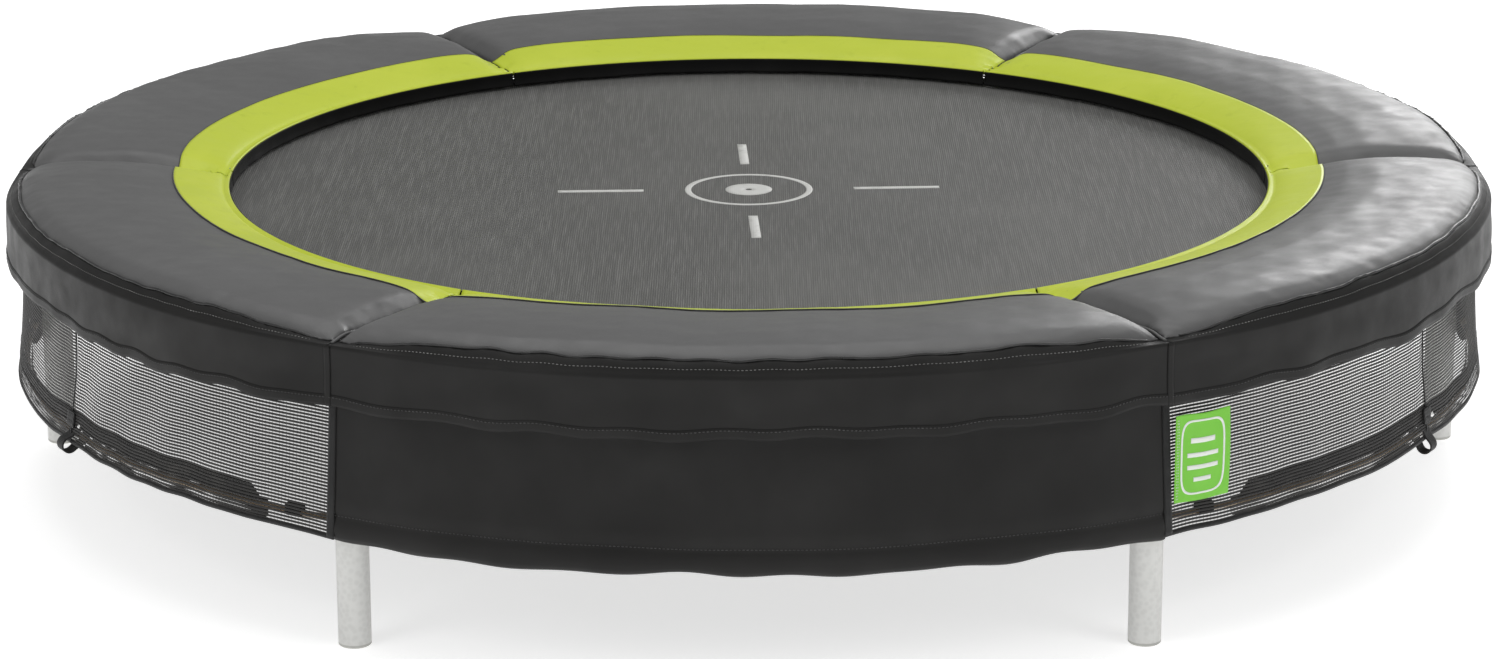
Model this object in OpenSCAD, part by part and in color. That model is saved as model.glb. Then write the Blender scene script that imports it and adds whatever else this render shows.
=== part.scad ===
// Low round garden trampoline: a steel tube ring on six plug-in legs, a woven mat
// hung on coil springs, six padded covers and a skirt held by a glass-fibre rod.
// Millimetres, +Z up. The origin is at floor level, in the middle of the ring.
// The front of the trampoline faces -Y.

/* [Frame] */
// Radius of the ring tube's centre line
ring_r = 896; // [880:1:910]
// Height of the ring tube's centre line
ring_z = 336; // [331:1:370]
// Outside diameter of the ring and leg tubes
tube_d = 38; // [34:1:40]
// Wall thickness of the ring and leg tubes
tube_wall = 1.5; // [1.2:0.1:2]
// Thickness of the plastic foot under each leg
foot_h = 4; // [3:1:8]

/* [Mat and springs] */
// Radius of the woven mat
mat_r = 702; // [690:1:704]
// Thickness of the woven mat
mat_t = 2; // [1:0.5:3]
// Springs on each of the six rails
springs_per_rail = 6; // [4:1:8]
// Outside diameter of a spring's coil
spring_d = 16; // [14:1:18]
// Diameter of the spring wire
wire_d = 2.6; // [2:0.2:3]

/* [Pads] */
// Radius of the pads' outer edge
pad_r = 931; // [925:1:940]
// Radius where the coloured inner trim begins
trim_r = 732; // [720:1:740]
// Radius of the pads' inner edge
pad_inner_r = 661; // [650:1:668]
// Height of the pads' crown
pad_top_z = 385; // [379:1:391]

/* [Skirt] */
// Height of the skirt's lower edge on the closed panels
panel_low_z = 134; // [121:1:141]
// Height of the skirt's lower edge on the net panels
net_low_z = 141; // [131:1:144]
// Height of the valance's lower edge
valance_low_z = 293; // [281:1:311]
// Height of the hem rod's centre line
rod_z = 151; // [149:1:154]
// Diameter of the hem rod
rod_d = 8; // [6:0.5:8]

/* [Hidden] */

sectors = 6;
sector = 360 / sectors;
tube_r = tube_d / 2;
bore_r = tube_r - tube_wall;
fine = 48;

// Frame joints: a sleeve along the ring over each pair of rail ends, with a stub below.
rail_gap = 0.05;
sleeve_clear = 0.2;
sleeve_wall = 2;
sleeve_r = tube_r + sleeve_clear + sleeve_wall;
sleeve_half = 3.2;
stub_r = bore_r - 0.2;
stub_wall = 2;
stub_low_z = 253;
leg_top_z = ring_z - sleeve_r - 1.5;
screw_z = 281;
screw_d = 5;
screw_head_d = 11;
screw_head_h = 3;

// Springs: hooks at both ends, the outer one through a slot in the ring tube.
spring_step = sector / springs_per_rail;
spring_angles = [for (i = [0 : sectors - 1], j = [0 : springs_per_rail - 1])
    i * sector + (j + 0.5) * spring_step];
hook_r = 6;
inner_hook_x = 746;
outer_hook_x = ring_r - tube_r + 1.5;
coil_start_x = inner_hook_x + hook_r + wire_d;
coil_end_x = outer_hook_x - hook_r - wire_d;
slot_w = 7;
slot_h = 9;
slot_rise = 6;
slot_depth = 12;

// Mat binding with one sewn tab for each V-ring.
groove_clear = 0.2;
edge_in_r = mat_r - 18;
edge_out_r = mat_r + 6;
edge_h = 6;
tab_w = 26;
tab_l = 14;
tab_x = edge_out_r + tab_l / 2 - 1;
v_wire_d = 3;
v_base_x = edge_out_r + 7;
v_half = 21;
v_tip_x = 746;
v_slot = v_wire_d + 0.8;

// Pads: a foam section with a covered edge, a sloping trim and a lip down to the mat.
pad_low_z = ring_z + sleeve_r + 1.6;
pad_inner_low_z = 348;
pad_step_x = ring_r - sleeve_r - 2;
pad_gap = 0.12;
lip_low_z = ring_z + edge_h / 2 + 1.2;
trim_out_z = 378;
trim_in_z = 363;
trim_t = 1.4;

// Skirt layers, from the valance inwards.
valance_x = pad_r + 3.2;
cloth_t = 1.6;
skirt_x = pad_r - 1;
skirt_top_z = pad_low_z - 0.3;
valance_top_z = pad_low_z + 4;
pocket_x = 917;
pocket_top_z = 161;
tape_low_z = 162;
tape_top_z = 181;
tape_x = 926.4;
rod_x = (pocket_x + skirt_x) / 2 + 0.6;
panel_gap = 0.1;
pocket_end = 6.5;
loop_gap = 1.6;
notch_half = 1.3;

// Webbing peg loops, one in the middle of each net panel.
peg_angles = [210, 330, 90];
loop_w = 20;
loop_t = 1.8;
loop_in_r = rod_d / 2 + 4;
loop_drop = 18;
loop_tilt = [62, 34, 6];
loop_notch_z = rod_z + 12;
ferrule_half = 2.2;
ferrule_wall = 0.8;

// Label sewn along one upright edge, beside the front right panel joint.
label_angle = 300.6;
label_w = 76;
label_low_z = 173;
label_h = 102;
label_t = 0.8;
label_x = skirt_x + cloth_t + 0.9;

// Turns what it holds to an angle round the ring.
module around(angle) {
    rotate([0, 0, angle]) children();
}

// An arc of a section given in ring coordinates, x outwards and y up.
module arc(from, to) {
    rotate([0, 0, from]) rotate_extrude(angle = to - from, $fn = 180) children();
}

// A rectangle given by its two corners.
module span(low, high) {
    translate(low) square(high - low);
}

// A curved band of cloth between two heights.
module band(from, to, x, low, high, thick = cloth_t) {
    arc(from, to) span([x, low], [x + thick, high]);
}

// A straight round bar between two points.
module bar(a, b, d) {
    v = b - a;
    len = norm(v);
    translate(a)
        rotate([0, acos(v[2] / len), atan2(v[1], v[0])])
            cylinder(d = d, h = len, $fn = 24);
}

// One sixth of the ring, with a slot for each spring hook.
module rail(i) {
    color("silver") difference() {
        arc(i * sector + rail_gap, (i + 1) * sector - rail_gap)
            translate([ring_r, ring_z]) difference() {
                circle(r = tube_r, $fn = fine);
                circle(r = bore_r, $fn = fine);
            }
        for (j = [0 : springs_per_rail - 1])
            around(i * sector + (j + 0.5) * spring_step)
                translate([ring_r - tube_r, 0, ring_z + slot_rise])
                    cube([slot_depth, slot_w, slot_h], center = true);
    }
}

// Sleeve over two rail ends with a stub that the leg plugs on to.
module leg_tee(i) {
    color("gainsboro") difference() {
        union() {
            arc(i * sector - sleeve_half, i * sector + sleeve_half)
                translate([ring_r, ring_z]) circle(r = sleeve_r, $fn = fine);
            around(i * sector) translate([ring_r, 0, stub_low_z])
                cylinder(r = stub_r, h = ring_z - stub_low_z, $fn = fine);
        }
        arc(i * sector - sleeve_half - 1, i * sector + sleeve_half + 1)
            translate([ring_r, ring_z]) circle(r = tube_r + sleeve_clear, $fn = fine);
        around(i * sector) translate([ring_r, 0, stub_low_z - 1])
            cylinder(r = stub_r - stub_wall, h = ring_z - stub_low_z, $fn = fine);
        around(i * sector) translate([ring_r - tube_r - 1, 0, screw_z]) rotate([0, 90, 0])
            cylinder(d = screw_d + 0.3, h = tube_r, $fn = fine);
    }
}

// Straight leg tube with a screw hole on its inner side.
module leg(i) {
    color("gainsboro") around(i * sector) difference() {
        translate([ring_r, 0, foot_h]) cylinder(r = tube_r, h = leg_top_z - foot_h, $fn = fine);
        translate([ring_r, 0, foot_h - 1]) cylinder(r = bore_r, h = leg_top_z, $fn = fine);
        translate([ring_r - tube_r - 1, 0, screw_z]) rotate([0, 90, 0])
            cylinder(d = screw_d + 0.3, h = tube_r, $fn = fine);
    }
}

// Plastic feet: a rounded disc under the tube and a plug inside it.
module leg_feet() {
    foot_edge = 1.5;
    plug_h = 22;
    color("lightgray") for (i = [0 : sectors - 1]) around(i * sector) translate([ring_r, 0, 0])
        rotate_extrude($fn = 72) {
            polygon([
                [0, 0], [tube_r - foot_edge, 0], [tube_r, foot_edge], [tube_r, foot_h - 0.05],
                [bore_r - 0.15, foot_h - 0.05], [bore_r - 0.15, plug_h], [0, plug_h]
            ]);
        }
}

// Self-tapping screws that lock each leg on its stub.
module leg_screws() {
    shank_l = 9;
    color("dimgray") for (i = [0 : sectors - 1])
        around(i * sector) translate([ring_r - tube_r - 0.1, 0, screw_z]) rotate([0, 90, 0]) {
            cylinder(d = screw_d, h = shank_l, $fn = 24);
            translate([0, 0, -screw_head_h]) cylinder(d1 = screw_head_d - 3, d2 = screw_head_d,
                h = screw_head_h, $fn = 24);
        }
}

// Hook at one end of a spring: most of a ring, standing upright along the spring.
module hook(x, from, to) {
    translate([x, 0, ring_z]) rotate([90, 0, 0]) rotate([0, 0, from])
        rotate_extrude(angle = to - from, $fn = 36)
            translate([hook_r, 0]) circle(d = wire_d, $fn = 16);
}

// Coil springs as closed coils with a hook at each end.
module springs() {
    color("silver") for (a = spring_angles) around(a) {
        translate([coil_start_x, 0, ring_z]) rotate([0, 90, 0])
            cylinder(d = spring_d, h = coil_end_x - coil_start_x, $fn = 32);
        hook(inner_hook_x, 0, 290);
        hook(outer_hook_x, -60, 180);
        bar([inner_hook_x + hook_r, 0, ring_z], [coil_start_x + 1, 0, ring_z], wire_d);
        bar([coil_end_x - 1, 0, ring_z], [outer_hook_x - hook_r, 0, ring_z], wire_d);
    }
}

// Triangular wire links between the mat's tabs and the springs.
module v_rings() {
    corners = [[v_base_x, -v_half], [v_base_x, v_half], [v_tip_x, 0]];
    side = norm(corners[1] - corners[2]);
    inscribed_r = v_half * 2 * (v_tip_x - v_base_x) / (2 * v_half + 2 * side);
    centre = [v_base_x + inscribed_r, 0];
    function grown(by) = [for (c = corners) centre + (c - centre) * (1 + by / inscribed_r)];
    color("silver") for (a = spring_angles) around(a)
        translate([0, 0, ring_z - v_wire_d / 2]) linear_extrude(v_wire_d) difference() {
            polygon(grown(v_wire_d / 2));
            polygon(grown(-v_wire_d / 2));
        }
}

// Round woven mat.
module jump_mat() {
    color("#2b2b2d") translate([0, 0, ring_z - mat_t / 2]) cylinder(r = mat_r, h = mat_t, $fn = 180);
}

// Webbing binding round the mat, with a sewn tab for every V-ring.
module mat_edge() {
    groove_h = mat_t + 2 * groove_clear;
    color("#1c1c1e") difference() {
        union() {
            rotate_extrude($fn = 180)
                span([edge_in_r, ring_z - edge_h / 2], [edge_out_r, ring_z + edge_h / 2]);
            for (a = spring_angles) around(a)
                translate([tab_x - tab_l / 2, -tab_w / 2, ring_z - edge_h / 2])
                    cube([tab_l, tab_w, edge_h]);
        }
        translate([0, 0, ring_z - groove_h / 2])
            cylinder(r = mat_r + groove_clear, h = groove_h, $fn = 180);
        for (a = spring_angles) around(a)
            translate([v_base_x, 0, ring_z]) cube([v_slot, tab_w + 2, v_slot], center = true);
    }
}

// Section of a padded cover, from its outer edge over the crown to the inner lip.
module pad_section() {
    under = trim_t + 0.1;
    polygon([
        [pad_r, pad_low_z], [pad_r, pad_low_z + 6], [pad_r - 8, pad_low_z + 14],
        [pad_r - 30, pad_top_z - 4], [pad_r - 75, pad_top_z], [pad_r - 130, pad_top_z - 1],
        [trim_r + 30, trim_out_z + 3.5], [trim_r, trim_out_z - under],
        [pad_inner_r + 1.5, trim_in_z - under], [pad_inner_r, trim_in_z - under - 3],
        [pad_inner_r, lip_low_z], [pad_inner_r + 3, lip_low_z], [pad_inner_r + 4, pad_inner_low_z],
        [pad_step_x, pad_inner_low_z], [pad_step_x + 4, pad_low_z]
    ]);
}

// One padded cover over a rail and its springs.
module pad(i) {
    color("#57575a") arc(i * sector + pad_gap, (i + 1) * sector - pad_gap) pad_section();
}

// Coloured strip sewn over a pad's sloping inner edge.
module trim(i) {
    color("#c9d83c") arc(i * sector + pad_gap, (i + 1) * sector - pad_gap)
        polygon([
            [pad_inner_r + 1.5, trim_in_z - trim_t], [trim_r, trim_out_z - trim_t],
            [trim_r, trim_out_z], [pad_inner_r, trim_in_z]
        ]);
}

// Strip of cover cloth hanging from a pad's outer edge.
module valance(i) {
    color("#262628") band(i * sector + pad_gap, (i + 1) * sector - pad_gap,
        valance_x - cloth_t, valance_low_z, valance_top_z);
}

// Elastic loops that hold the pads to the ring tube.
module pad_ties() {
    tie_w = 20;
    tie_t = 1.4;
    tie_in = tube_r + 0.2;
    color("#202022") for (i = [0 : sectors - 1], k = [1, 2])
        around(i * sector + k * sector / 3) translate([ring_r, tie_w / 2, ring_z]) rotate([90, 0, 0])
            difference() {
                union() {
                    cylinder(r = tie_in + tie_t, h = tie_w, $fn = fine);
                    translate([-tie_t, 0, 0]) cube([tie_t, pad_low_z - ring_z - 0.1, tie_w]);
                }
                translate([0, 0, -1]) cylinder(r = tie_in, h = tie_w + 2, $fn = fine);
            }
}

// Closed cloth panel of the skirt, its lower edge folded up round the hem rod.
module closed_panel(from) {
    color("#232325") arc(from + panel_gap, from + sector - panel_gap) {
        span([skirt_x, panel_low_z], [skirt_x + cloth_t, skirt_top_z]);
        span([pocket_x, panel_low_z], [skirt_x + 0.5, panel_low_z + cloth_t]);
        span([pocket_x, panel_low_z], [pocket_x + cloth_t, pocket_top_z]);
        span([pocket_x, pocket_top_z - cloth_t], [skirt_x + 0.5, pocket_top_z]);
    }
}

// Net panel of the skirt. Its pocket stops short of both ends and at the peg loop.
module net_panel(from) {
    middle = from + sector / 2;
    stretches = [
        [from + pocket_end, middle - loop_gap], [middle + loop_gap, from + sector - pocket_end]
    ];
    color("#3c3c3e") {
        difference() {
            band(from + panel_gap, from + sector - panel_gap, skirt_x, net_low_z, skirt_top_z);
            arc(middle - notch_half, middle + notch_half)
                span([skirt_x - 1, net_low_z - 1], [skirt_x + cloth_t + 1, loop_notch_z]);
        }
        for (s = stretches) arc(s[0], s[1]) {
            span([pocket_x, net_low_z], [skirt_x + 0.5, net_low_z + cloth_t]);
            span([pocket_x, net_low_z], [pocket_x + cloth_t, pocket_top_z]);
        }
    }
}

// Webbing sewn inside each net panel along the top of its pocket.
module hem_tapes() {
    color("#151516") for (k = [0 : 2]) {
        from = 180 + k * 2 * sector;
        arc(from + pocket_end, from + sector - pocket_end) {
            span([tape_x, tape_low_z], [skirt_x - 0.3, tape_top_z]);
            span([pocket_x, tape_low_z], [tape_x + 0.5, tape_low_z + 2]);
        }
    }
}

// Glass-fibre rods that hold the skirt round, joined in the middle of each closed panel.
module hem_rods() {
    color("#8a6f45") for (k = [0 : 2])
        arc(30 + k * 120 + 0.02, 150 + k * 120 - 0.02)
            translate([rod_x, rod_z]) circle(d = rod_d, $fn = 24);
}

// Metal sleeves over the rod ends.
module rod_ferrules() {
    color("silver") for (k = [0 : 2])
        arc(270 + k * 120 - ferrule_half, 270 + k * 120 + ferrule_half)
            translate([rod_x, rod_z]) difference() {
                circle(d = rod_d + 0.2 + 2 * ferrule_wall, $fn = 24);
                circle(d = rod_d + 0.2, $fn = 24);
            }
}

// Short straps that hold the rod to the net where the pocket stops.
module rod_straps() {
    strap_w = 1.3;
    strap_t = 1.2;
    color("#151516") for (k = [0 : 2], side = [-1, 1]) {
        middle = 210 + k * 120;
        at = middle + side * (sector / 2 - pocket_end / 2 - 0.8);
        arc(at - strap_w / 2, at + strap_w / 2)
            translate([rod_x, rod_z]) difference() {
                circle(d = rod_d + 0.4 + 2 * strap_t, $fn = 24);
                circle(d = rod_d + 0.4, $fn = 24);
            }
    }
}

// Outline of a slot with round ends, its first centre at the origin.
module slot_outline(r, l) {
    circle(r = r, $fn = fine);
    translate([l, 0]) circle(r = r, $fn = fine);
    translate([0, -r]) square([l, 2 * r]);
}

// Free end of a webbing loop: it runs round the bare rod and hangs outwards.
module peg_loop(k) {
    color("#121213") around(peg_angles[k]) translate([rod_x, loop_w / 2, rod_z]) rotate([90, 0, 0])
        rotate([0, 0, loop_tilt[k] - 90]) difference() {
            linear_extrude(loop_w) slot_outline(loop_in_r + loop_t, loop_drop);
            translate([0, 0, -1]) linear_extrude(loop_w + 2) slot_outline(loop_in_r, loop_drop);
        }
}

// Fixed ends of the peg loops, sewn over the tape on the outside of the net.
module loop_straps() {
    color("#121213") for (a = peg_angles) around(a)
        translate([skirt_x + cloth_t + 0.2, -loop_w / 2, rod_z + loop_in_r + loop_t + 6])
            cube([loop_t, loop_w, tape_top_z - rod_z - loop_in_r - loop_t - 6]);
}

// Small rivets beside each peg loop.
module loop_rivets() {
    rivet_d = 7;
    color("silver") for (a = peg_angles) around(a + 1.25)
        translate([skirt_x + cloth_t + 0.1, 0, tape_low_z + 6]) intersection() {
            translate([-1.2, 0, 0]) sphere(d = rivet_d, $fn = 32);
            translate([0, -rivet_d, -rivet_d]) cube(2 * rivet_d);
        }
}

// Cloth label, sewn along its left edge and free to flap.
module label_flap() {
    label_sweep = label_w / label_x * 180 / PI;
    color("#76c832") band(label_angle, label_angle + label_sweep, label_x, label_low_z,
        label_low_z + label_h, label_t);
}

rail(0);  // rail_1
rail(1);  // rail_2
rail(2);  // rail_3
rail(3);  // rail_4
rail(4);  // rail_5
rail(5);  // rail_6
leg_tee(0);  // leg_tee_1
leg_tee(1);  // leg_tee_2
leg_tee(2);  // leg_tee_3
leg_tee(3);  // leg_tee_4
leg_tee(4);  // leg_tee_5
leg_tee(5);  // leg_tee_6
leg(0);  // leg_1
leg(1);  // leg_2
leg(2);  // leg_3
leg(3);  // leg_4
leg(4);  // leg_5
leg(5);  // leg_6
leg_feet();
leg_screws();
springs();
v_rings();
jump_mat();
mat_edge();
pad(0);  // pad_1
pad(1);  // pad_2
pad(2);  // pad_3
pad(3);  // pad_4
pad(4);  // pad_5
pad(5);  // pad_6
trim(0);  // trim_1
trim(1);  // trim_2
trim(2);  // trim_3
trim(3);  // trim_4
trim(4);  // trim_5
trim(5);  // trim_6
valance(0);  // valance_1
valance(1);  // valance_2
valance(2);  // valance_3
valance(3);  // valance_4
valance(4);  // valance_5
valance(5);  // valance_6
pad_ties();
closed_panel(240);  // closed_panel_1
closed_panel(0);  // closed_panel_2
closed_panel(120);  // closed_panel_3
net_panel(180);  // net_panel_1
net_panel(300);  // net_panel_2
net_panel(60);  // net_panel_3
hem_tapes();
hem_rods();
rod_ferrules();
rod_straps();
peg_loop(0);  // peg_loop_1
peg_loop(1);  // peg_loop_2
peg_loop(2);  // peg_loop_3
loop_straps();
loop_rivets();
label_flap();
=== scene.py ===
"""Looks of a low round garden trampoline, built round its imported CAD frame, in metres.

Angles are degrees round the ring from +X, and the front of the trampoline faces -Y (270 degrees).
Each pad covers one sixth of the ring. Under the pads, closed and net skirt panels alternate.
"""
import math

import bmesh
import bpy
import numpy as np
from mathutils import Matrix, Vector
from mathutils.bvhtree import BVHTree


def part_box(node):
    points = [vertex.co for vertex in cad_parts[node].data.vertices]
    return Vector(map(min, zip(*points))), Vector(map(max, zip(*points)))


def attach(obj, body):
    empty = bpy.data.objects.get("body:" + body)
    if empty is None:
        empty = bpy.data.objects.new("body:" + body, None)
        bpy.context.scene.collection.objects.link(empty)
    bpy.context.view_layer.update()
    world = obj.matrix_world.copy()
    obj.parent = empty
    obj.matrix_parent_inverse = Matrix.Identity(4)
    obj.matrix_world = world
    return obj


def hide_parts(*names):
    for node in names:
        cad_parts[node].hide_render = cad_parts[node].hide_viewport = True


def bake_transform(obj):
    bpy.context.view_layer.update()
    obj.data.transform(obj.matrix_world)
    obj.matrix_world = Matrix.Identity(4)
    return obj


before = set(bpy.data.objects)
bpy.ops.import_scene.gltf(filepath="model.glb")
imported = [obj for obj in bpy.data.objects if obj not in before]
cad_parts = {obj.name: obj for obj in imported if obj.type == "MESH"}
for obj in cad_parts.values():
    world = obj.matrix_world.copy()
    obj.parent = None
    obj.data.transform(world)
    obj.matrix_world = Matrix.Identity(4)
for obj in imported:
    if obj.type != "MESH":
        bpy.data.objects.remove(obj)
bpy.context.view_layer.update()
MM = 0.001
SECTORS = 6
SECTOR = 360 / SECTORS
UP = np.array([0, 0, 1.0])


# ---------------------------------------------------------------- sizes from the frame

def radii(node):
    """Smallest and largest distance of a CAD node's points from the ring's axis."""
    points = np.array([v.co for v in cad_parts[node].data.vertices])
    distance = np.hypot(points[:, 0], points[:, 1])
    return float(distance.min()), float(distance.max())


def heights(node):
    """Lowest and highest point of a CAD node."""
    low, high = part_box(node)
    return low.z, high.z


PAD_IN, PAD_OUT = radii("pad_2")
PAD_LOW, PAD_TOP = heights("pad_2")
TRIM_OUT = radii("trim_2")[1]
TRIM_LOW = heights("trim_2")[0]
VALANCE_LOW = heights("valance_2")[0]
VALANCE_R = radii("valance_2")[0]
SKIRT_R = radii("closed_panel_1")[1] - 0.8 * MM
POCKET_R = radii("closed_panel_1")[0] + 0.8 * MM
PANEL_LOW, SKIRT_TOP = heights("closed_panel_1")
NET_LOW = heights("net_panel_3")[0]
TAPE_LOW, TAPE_TOP = heights("hem_tapes")
MAT_R = radii("jump_mat")[1]
MAT_LOW, MAT_TOP = heights("jump_mat")
ROD_R = sum(radii("hem_rods")) / 2
ROD_LOW, ROD_HIGH = heights("hem_rods")
ROD_Z, ROD_D = (ROD_LOW + ROD_HIGH) / 2, ROD_HIGH - ROD_LOW
RING_Z = (MAT_LOW + MAT_TOP) / 2
UNDER_PAD = RING_Z + 12 * MM
ON_TUBE = SKIRT_TOP + 0.3 * MM
LABEL_LOW, LABEL_HIGH = heights("label_flap")
LABEL_R = radii("label_flap")[0]
NET_STARTS = (180, 300, 60)
CLOSED_STARTS = (240, 0, 120)
LOOPS = {"peg_loop_1": 210, "peg_loop_2": 330, "peg_loop_3": 90}
LOOP_BODY = {"peg_loop_1": "loop_front_left", "peg_loop_2": "loop_front_right", "peg_loop_3": "loop_back"}
SPRING_ANGLES = [SECTOR * i + (j + 0.5) * SECTOR / 6 for i in range(SECTORS) for j in range(6)]


# ---------------------------------------------------------------- camera, lights and floor

def camera_and_studio():
    """The camera of the reference view, four soft lights, and a white floor."""
    data = bpy.data.cameras.new("camera")
    data.sensor_width, data.lens, data.clip_end = 36, 105.6, 60
    camera = bpy.data.objects.new("camera", data)
    pitch_down, yaw, roll = 0.27922, 0.0002, -0.0027
    turn = (Matrix.Rotation(yaw, 4, "Z") @ Matrix.Rotation(math.pi / 2 - pitch_down, 4, "X")
            @ Matrix.Rotation(roll, 4, "Z"))
    camera.matrix_world = Matrix.Translation((0.0022, -5.4811, 1.7189)) @ turn
    bpy.context.scene.collection.objects.link(camera)
    bpy.context.scene.camera = camera
    for name, place, size, power in (
        ("front_left", (-3.6, -3.6, 3.4), 2.6, 42), ("front_right", (3.8, -3.2, 3.4), 2.6, 48),
        ("overhead", (0, 0.8, 5.2), 5.0, 115), ("back_right", (2.5, 5.1, 2.2), 2.4, 92),
    ):
        light = bpy.data.lights.new(name, "AREA")
        light.size, light.energy = size, power
        lamp = bpy.data.objects.new(name, light)
        lamp.location = place
        lamp.rotation_mode = "QUATERNION"
        lamp.rotation_quaternion = (Vector((0, 0, 0.3)) - Vector(place)).to_track_quat("-Z", "Y")
        bpy.context.scene.collection.objects.link(lamp)
    world = bpy.data.worlds.new("studio")
    world.use_nodes = True
    background = world.node_tree.nodes["Background"]
    background.inputs["Color"].default_value = (1, 1, 1, 1)
    background.inputs["Strength"].default_value = 0.34
    bpy.context.scene.world = world
    bpy.context.scene.view_settings.view_transform = "Standard"
    half = 14
    white = Material("floor_white", (0.86, 0.86, 0.86), 0.9, Specular_IOR_Level=0.0,
                     Emission_Color=(1, 1, 1, 1), Emission_Strength=0.65)
    corners = [(-half, -half, 0), (half, -half, 0), (half, half, 0), (-half, half, 0)]
    mesh_object("floor", corners, [(0, 1, 2, 3)], white.material)


# ---------------------------------------------------------------- mesh helpers

def mesh_object(name, points, faces, material=None, smooth=False):
    mesh = bpy.data.meshes.new(name)
    mesh.from_pydata([tuple(p) for p in points], [], [tuple(f) for f in faces])
    if smooth:
        mesh.polygons.foreach_set("use_smooth", [True] * len(mesh.polygons))
    mesh.update()
    made = bpy.data.objects.new(name, mesh)
    bpy.context.scene.collection.objects.link(made)
    if material is not None:
        mesh.materials.append(material)
    return made


def ring_points(angles, radius, height):
    """Points at angles in degrees; each value is a number or an array, and their shapes broadcast."""
    angles, radius, height = np.broadcast_arrays(angles, radius, height)
    turn = np.radians(angles)
    return np.stack([radius * np.cos(turn), radius * np.sin(turn), height + 0 * turn], axis=-1)


def outward(angles):
    """Unit vectors that point away from the ring's axis."""
    return ring_points(angles, 1.0, 0.0)


def spin(angle):
    """Matrix that turns rows of points by an angle in degrees about the ring's axis."""
    turn = math.radians(angle)
    x, y = math.cos(turn), math.sin(turn)
    return np.array([[x, y, 0], [-y, x, 0], [0, 0, 1]])


def grid_faces(rows, columns, closed_rows=False, closed_columns=False, first=0):
    """Quads of a grid whose points run column by column within each row."""
    i = np.arange(rows if closed_rows else rows - 1)[:, None]
    j = np.arange(columns if closed_columns else columns - 1)[None, :]
    i_next, j_next = (i + 1) % rows, (j + 1) % columns
    quads = np.stack([i * columns + j, i * columns + j_next,
                      i_next * columns + j_next, i_next * columns + j], axis=-1)
    return quads.reshape(-1, 4) + first


def cloth(name, points, thick, material, closed_columns=False):
    """A cloth sheet with a real thickness on a grid of points, shape (rows, columns, 3)."""
    rows, columns = points.shape[:2]
    down = np.gradient(points, axis=0)
    if closed_columns:
        wrapped = np.concatenate([points[:, -1:], points, points[:, :1]], axis=1)
        across = np.gradient(wrapped, axis=1)[:, 1:-1]
    else:
        across = np.gradient(points, axis=1)
    normal = np.cross(across, down)
    normal /= np.maximum(np.linalg.norm(normal, axis=-1, keepdims=True), 1e-12)
    front, back = points + normal * thick / 2, points - normal * thick / 2
    count = rows * columns
    faces = [grid_faces(rows, columns, closed_columns=closed_columns),
             grid_faces(rows, columns, closed_columns=closed_columns, first=count)[:, ::-1]]
    last = (rows - 1) * columns
    run = np.arange(columns if closed_columns else columns - 1)
    after = (run + 1) % columns
    faces.append(np.stack([run, run + count, after + count, after], axis=-1))
    faces.append(np.stack([last + run, last + after, last + after + count, last + run + count], axis=-1))
    if not closed_columns:
        side = np.arange(rows - 1) * columns
        faces.append(np.stack([side, side + columns, side + columns + count, side + count], axis=-1))
        side = side + columns - 1
        faces.append(np.stack([side, side + count, side + columns + count, side + columns], axis=-1))
    all_points = np.concatenate([front.reshape(-1, 3), back.reshape(-1, 3)])
    return mesh_object(name, all_points, np.concatenate(faces).tolist(), material, smooth=True)


def tubes(name, paths, offsets, material, closed=False, smooth=True):
    """Bars along paths, shape (count, points, 3); the offsets of their sides are added to the paths."""
    count, length = paths.shape[:2]
    sides = len(offsets)
    points = np.stack([paths + o for o in offsets], axis=2)
    faces = []
    block = grid_faces(length, sides, closed_rows=closed, closed_columns=True)
    for k in range(count):
        first = k * length * sides
        faces.extend((block + first).tolist())
        if not closed:
            faces.append(list(range(first, first + sides))[::-1])
            faces.append(list(range(first + (length - 1) * sides, first + length * sides)))
    return mesh_object(name, points.reshape(-1, 3), faces, material, smooth=smooth)


def round_bar(name, path, radius, material, sides=8, closed=False, flat=1.0, up=(0, 0, 1)):
    """A bar of round or flattened section along one path, shape (points, 3)."""
    path = np.asarray(path, float)
    if closed:
        ahead, behind = np.roll(path, -1, axis=0), np.roll(path, 1, axis=0)
    else:
        ahead = np.concatenate([path[1:], path[-1:]])
        behind = np.concatenate([path[:1], path[:-1]])
    along = ahead - behind
    along /= np.linalg.norm(along, axis=1, keepdims=True)
    side = np.cross(along, np.array(up, float))
    side /= np.maximum(np.linalg.norm(side, axis=1, keepdims=True), 1e-9)
    over = np.cross(side, along)
    turns = 2 * np.pi * np.arange(sides) / sides
    offsets = [radius * (math.cos(t) * side + flat * math.sin(t) * over)[None] for t in turns]
    return tubes(name, path[None], offsets, material, closed=closed)


def waves(seed, count, shortest, longest):
    """A smooth seeded function of position, about -1 to 1, with wavelengths in metres."""
    random = np.random.RandomState(seed)
    lengths = np.exp(random.uniform(math.log(shortest), math.log(longest), count))
    ways = random.normal(size=(count, 3))
    ways /= np.linalg.norm(ways, axis=1, keepdims=True)
    starts = random.uniform(0, 2 * np.pi, count)

    def value(points):
        total = 0
        for length, way, start in zip(lengths, ways, starts):
            total = total + np.sin(points @ way * (2 * np.pi / length) + start)
        return total / math.sqrt(count)

    return value


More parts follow.
